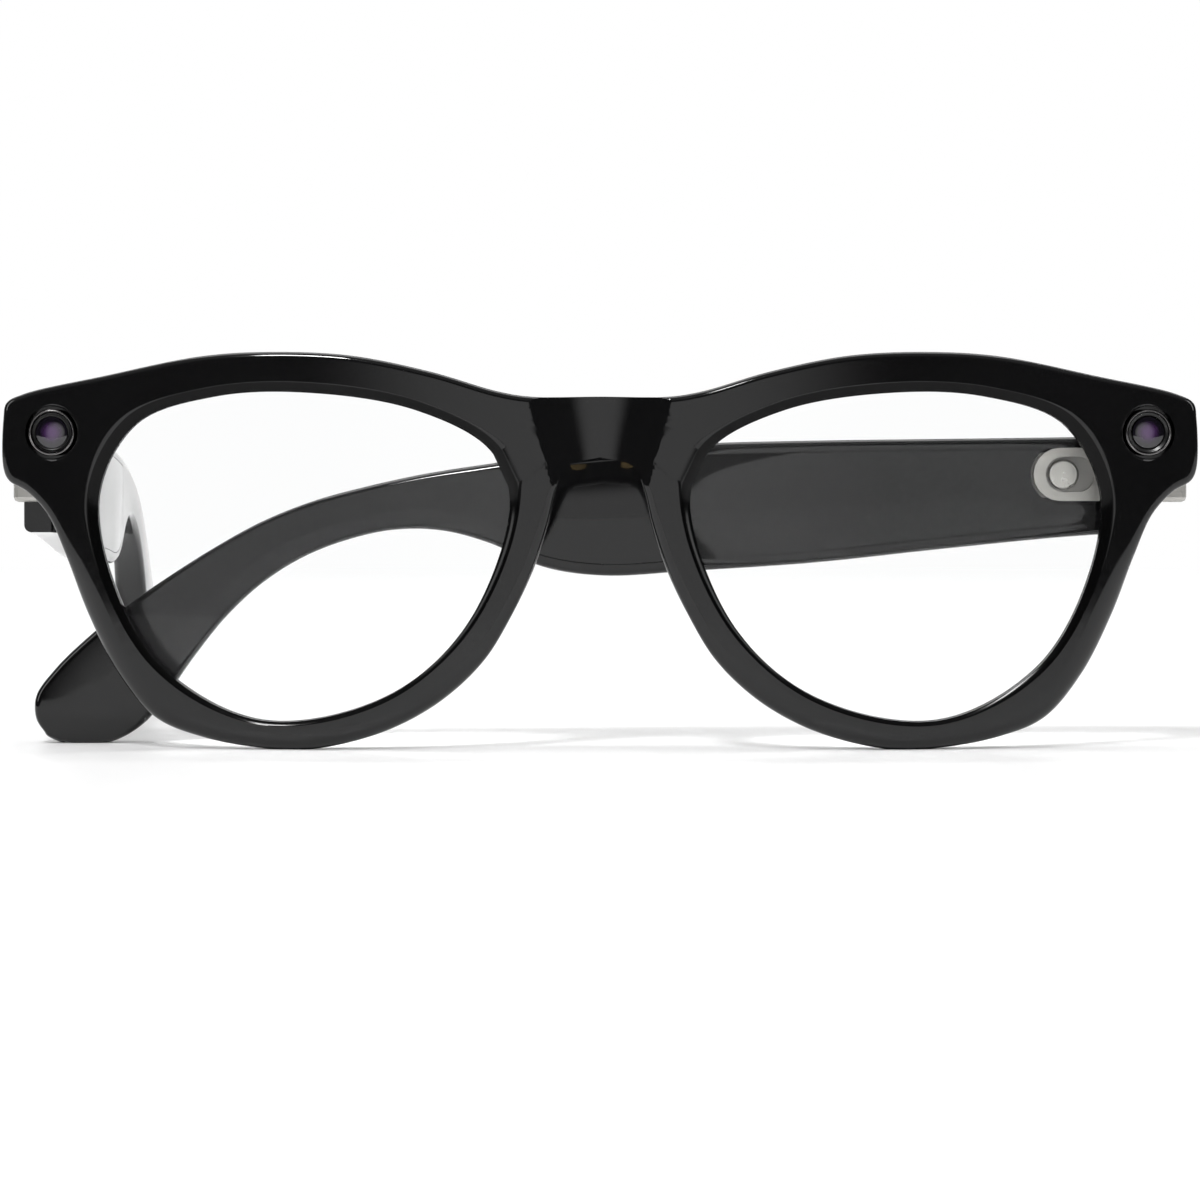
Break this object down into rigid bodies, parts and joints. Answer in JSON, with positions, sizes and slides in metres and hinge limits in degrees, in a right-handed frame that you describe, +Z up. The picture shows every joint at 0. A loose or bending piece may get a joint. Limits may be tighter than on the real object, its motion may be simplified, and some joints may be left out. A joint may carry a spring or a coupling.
{
  "type": "smart glasses",
  "caption": "Black acetate smart glasses with clear lenses, a camera and a light in the end pieces, and hollow folding temples that hold the electronics.",
  "frame": {"origin": "middle of the bounding box on the surface that the glasses stand on", "axes": "+X towards the wearer's left, +Y back from the front towards the ears, +Z up"},
  "size_m": [0.1464, 0.1534, 0.0484],
  "materials": {
    "front_acetate": "polished black acetate",
    "temple_acetate": "polished black acetate",
    "lens": "clear demonstration lens",
    "bezel_metal": "dark polished metal",
    "window_glass": "dark coated glass",
    "black_plastic": "moulded black plastic",
    "hinge_metal": "satin nickel",
    "screw_steel": "bright steel",
    "contact_gold": "gold plated",
    "board": "solder mask",
    "can_metal": "stamped shield",
    "battery_foil": "foil pouch",
    "grille_metal": "dark woven mesh",
    "copper_film": "copper on film",
    "button_acetate": "polished black"
  },
  "bodies": {
    "front": {"front_frame": "front_acetate", "lens_left": "lens", "lens_right": "lens", "camera_bezel_left": "bezel_metal", "camera_window_left": "window_glass", "camera_barrel_left": "black_plastic", "camera_sensor_left": "board", "light_bezel_right": "bezel_metal", "light_window_right": "window_glass", "light_pipe_right": "black_plastic", "capture_led_right": "board", "charging_contact_left": "contact_gold", "charging_contact_right": "contact_gold", "hinge_housing_left": "hinge_metal", "hinge_housing_right": "hinge_metal", "hinge_screw_left": "screw_steel", "hinge_screw_right": "screw_steel"},
    "temple_left": {"temple_shell_left": "temple_acetate", "temple_cover_left": "temple_acetate", "hinge_plate_left": "hinge_metal", "audio_board_left": "board", "shield_can_left": "can_metal", "amplifier_chip_left": "black_plastic", "battery_left": "battery_foil", "speaker_left": "black_plastic", "speaker_grille_left": "grille_metal", "power_switch_module": "black_plastic"},
    "temple_right": {"temple_shell_right": "temple_acetate", "temple_cover_right": "temple_acetate", "hinge_plate_right": "hinge_metal", "main_board_right": "board", "shield_can_right": "can_metal", "memory_chip_right": "black_plastic", "battery_right": "battery_foil", "speaker_right": "black_plastic", "speaker_grille_right": "grille_metal", "capture_switch": "can_metal", "touch_sensor": "copper_film"},
    "power_slider": {"power_slider": "hinge_metal"},
    "capture_button": {"capture_button": "button_acetate"}
  },
  "joints": [
    {"name": "left_temple_fold", "type": "hinge", "parent": "front", "child": "temple_left", "pos_m": [0.0664, -0.06005, 0.0346], "axis": [0, 0, -1], "range_deg": [0, 90]},
    {"name": "right_temple_fold", "type": "hinge", "parent": "front", "child": "temple_right", "pos_m": [-0.0664, -0.06005, 0.0346], "axis": [0, 0, 1], "range_deg": [-77, 0]},
    {"name": "power_slide", "type": "slide", "parent": "temple_left", "child": "power_slider", "axis": [1, 0, 0], "range_m": [0, 0.0019]},
    {"name": "capture_press", "type": "slide", "parent": "temple_right", "child": "capture_button", "axis": [0, 0, -1], "range_m": [0, 0.00035], "stiffness_N_per_m": 800}
  ]
}
